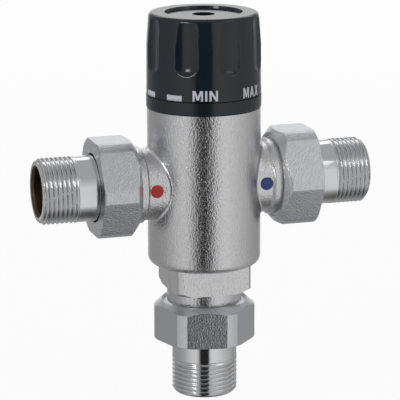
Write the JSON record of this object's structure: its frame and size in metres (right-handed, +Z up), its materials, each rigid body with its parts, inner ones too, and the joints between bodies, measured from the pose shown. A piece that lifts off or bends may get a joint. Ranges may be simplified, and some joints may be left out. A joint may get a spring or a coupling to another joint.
{
  "type": "hot and cold water mixing valve",
  "caption": "Temperature-regulating mixing valve: T-shaped chromed body, fluted black dial knob on top, hot and cold union inlets at the sides, mixed water outlet below.",
  "frame": {"origin": "centre of the open end of the outlet tail, which is the bottom of the valve", "axes": "+Z up along the valve's axis to the knob, +X along the cold inlet, -X along the hot inlet, -Y is the front with the index notch"},
  "size_m": [0.1354, 0.046, 0.1556],
  "materials": {
    "cast_chrome": "satin pearl chrome plating over cast brass",
    "nut_chrome": "satin chrome plating",
    "tail_chrome": "bright chrome plating over turned brass",
    "turned_brass": "turned, uncoated",
    "copper_cup": "drawn copper alloy",
    "knob_black": "glossy moulded ABS",
    "ring_black": "moulded ABS",
    "guide_plastic": "moulded glass-filled nylon",
    "white_plastic": "moulded acetal",
    "spring_steel": "stainless spring wire",
    "screw_steel": "stainless",
    "seal_rubber": "moulded EPDM",
    "gasket_fibre": "pressed fibre",
    "hot_enamel": "red enamel",
    "cold_enamel": "blue enamel"
  },
  "bodies": {
    "root": {"valve_body": "cast_chrome", "bonnet": "turned_brass", "bonnet_o_ring": "seal_rubber", "index_ring": "ring_black", "flow_guide": "guide_plastic", "return_spring": "spring_steel", "hot_mark": "hot_enamel", "cold_mark": "cold_enamel"},
    "knob": {"temperature_knob": "knob_black", "knob_screw": "screw_steel", "adjusting_spindle": "turned_brass", "spindle_o_ring": "seal_rubber", "spindle_circlip": "spring_steel"},
    "drive": {"drive_nut": "turned_brass", "overload_spring": "spring_steel", "spring_cap": "turned_brass", "cap_circlip": "spring_steel", "element_piston": "screw_steel"},
    "shuttle": {"shuttle": "guide_plastic", "shuttle_o_ring": "seal_rubber", "wax_element": "copper_cup"},
    "hot_union": {"hot_tail": "tail_chrome", "hot_gasket": "gasket_fibre", "hot_check_housing": "white_plastic", "hot_check_spring": "spring_steel", "hot_strainer": "white_plastic"},
    "hot_nut": {"hot_union_nut": "nut_chrome"},
    "hot_check": {"hot_check_poppet": "white_plastic"},
    "cold_union": {"cold_tail": "tail_chrome", "cold_gasket": "gasket_fibre", "cold_check_housing": "white_plastic", "cold_check_spring": "spring_steel", "cold_strainer": "white_plastic"},
    "cold_nut": {"cold_union_nut": "nut_chrome"},
    "cold_check": {"cold_check_poppet": "white_plastic"},
    "outlet_union": {"outlet_tail": "tail_chrome", "outlet_gasket": "gasket_fibre"},
    "outlet_nut": {"outlet_union_nut": "nut_chrome"}
  },
  "joints": [
    {"name": "knob_turn", "type": "hinge", "parent": "root", "child": "knob", "pos_m": [0, 0, 0.14], "axis": [0, 0, 1], "range_deg": [0, 320]},
    {"name": "drive_lift", "type": "slide", "parent": "root", "child": "drive", "axis": [0, 0, 1], "range_m": [0, 0.0036]},
    {"name": "shuttle_travel", "type": "slide", "parent": "root", "child": "shuttle", "axis": [0, 0, -1], "range_m": [0, 0.0016], "stiffness_N_per_m": 3500, "springref_m": -0.008, "deforming": ["return_spring"]},
    {"name": "hot_union_draw", "type": "slide", "parent": "root", "child": "hot_union", "axis": [-1, 0, 0], "range_m": [0, 0.0093]},
    {"name": "hot_nut_turn", "type": "hinge", "parent": "hot_union", "child": "hot_nut", "pos_m": [-0.04, 0, 0.0876], "axis": [-1, 0, 0], "range_deg": [0, 1440]},
    {"name": "hot_check_lift", "type": "slide", "parent": "hot_union", "child": "hot_check", "axis": [1, 0, 0], "range_m": [0, 0.003], "stiffness_N_per_m": 100, "springref_m": -0.004, "deforming": ["hot_check_spring"]},
    {"name": "cold_union_draw", "type": "slide", "parent": "root", "child": "cold_union", "axis": [1, 0, 0], "range_m": [0, 0.0093]},
    {"name": "cold_nut_turn", "type": "hinge", "parent": "cold_union", "child": "cold_nut", "pos_m": [0.04, 0, 0.0876], "axis": [1, 0, 0], "range_deg": [0, 1440]},
    {"name": "cold_check_lift", "type": "slide", "parent": "cold_union", "child": "cold_check", "axis": [-1, 0, 0], "range_m": [0, 0.003], "stiffness_N_per_m": 100, "springref_m": -0.004, "deforming": ["cold_check_spring"]},
    {"name": "outlet_union_draw", "type": "slide", "parent": "root", "child": "outlet_union", "axis": [0, 0, -1], "range_m": [0, 0.0093]},
    {"name": "outlet_nut_turn", "type": "hinge", "parent": "outlet_union", "child": "outlet_nut", "pos_m": [0, 0, 0.03], "axis": [0, 0, -1], "range_deg": [0, 1440]}
  ],
  "couplings": [
    {"joint": "drive_lift", "follows": "knob_turn", "m_per_rad": 0.00063662},
    {"joint": "hot_union_draw", "follows": "hot_nut_turn", "m_per_rad": 0.00036749},
    {"joint": "cold_union_draw", "follows": "cold_nut_turn", "m_per_rad": 0.00036749},
    {"joint": "outlet_union_draw", "follows": "outlet_nut_turn", "m_per_rad": 0.00036749}
  ]
}
